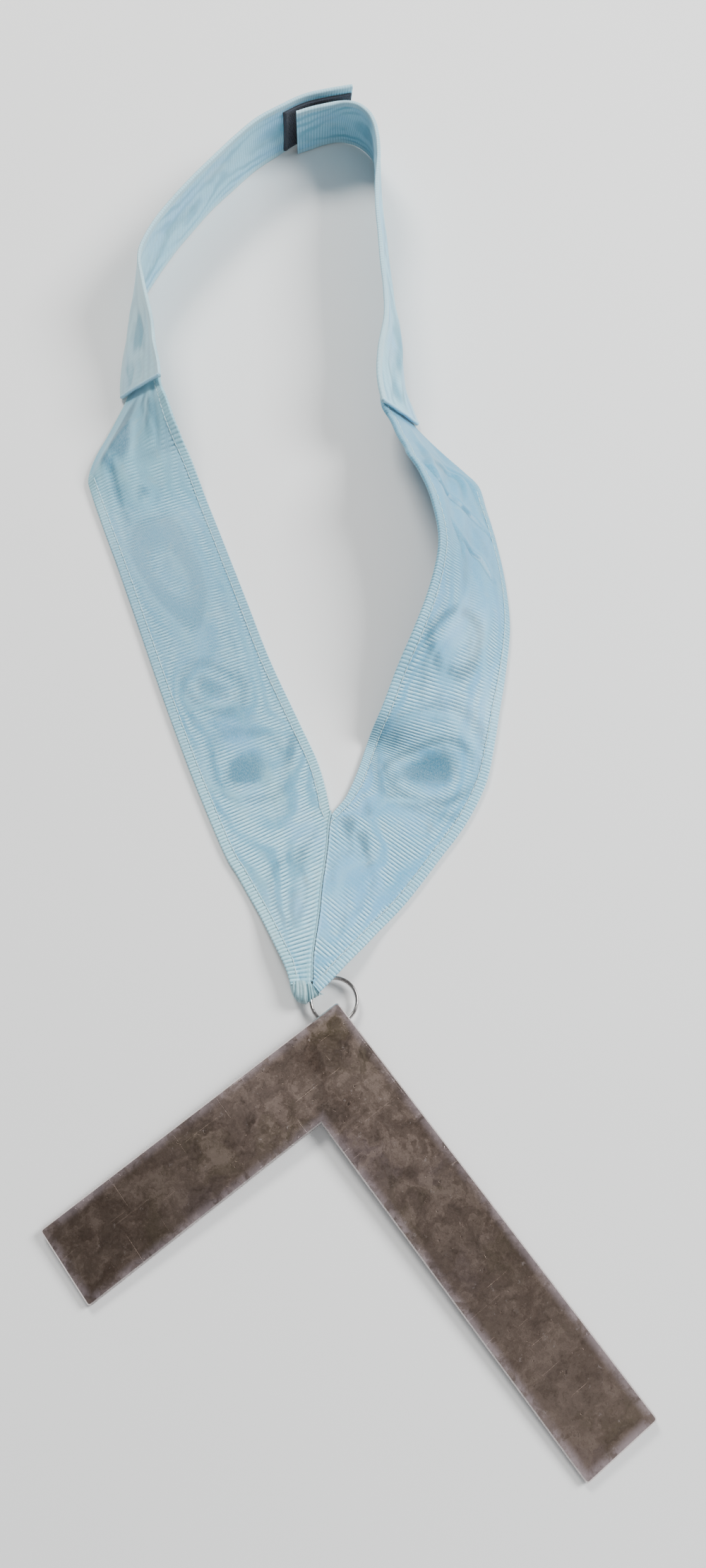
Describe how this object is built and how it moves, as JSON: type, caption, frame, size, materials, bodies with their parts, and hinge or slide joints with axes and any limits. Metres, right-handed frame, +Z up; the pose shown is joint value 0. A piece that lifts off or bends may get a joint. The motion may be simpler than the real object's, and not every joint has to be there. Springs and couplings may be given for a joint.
{
  "type": "masonic collar jewel",
  "caption": "Plated metal square hung by a split ring from the point of a watered-ribbon collar with a hook-and-loop neck strap, lying flat.",
  "frame": {"origin": "middle of the floor area that the jewel covers as it lies", "axes": "+Z up from the surface it lies on, +Y from the square towards the neck strap, +X to the right in the picture"},
  "size_m": [0.1585, 0.4444, 0.0278],
  "materials": {
    "tarnished_plate": "tarnished silver plate, worn bright at the edges",
    "nickel_wire": "polished",
    "hem_ribbon": "ribbed",
    "watered_ribbon": "ribbed, watered",
    "strap_ribbon": "ribbed, watered",
    "hook_tape": "fine hooks",
    "loop_tape": "brushed loops"
  },
  "bodies": {
    "root": {"square": "tarnished_plate", "split_ring": "nickel_wire", "tip_tab": "hem_ribbon", "ribbon_left": "watered_ribbon", "ribbon_right": "watered_ribbon", "strap_left": "strap_ribbon", "strap_right": "strap_ribbon", "hook_pad": "hook_tape", "loop_pad": "loop_tape"}
  },
  "joints": []
}
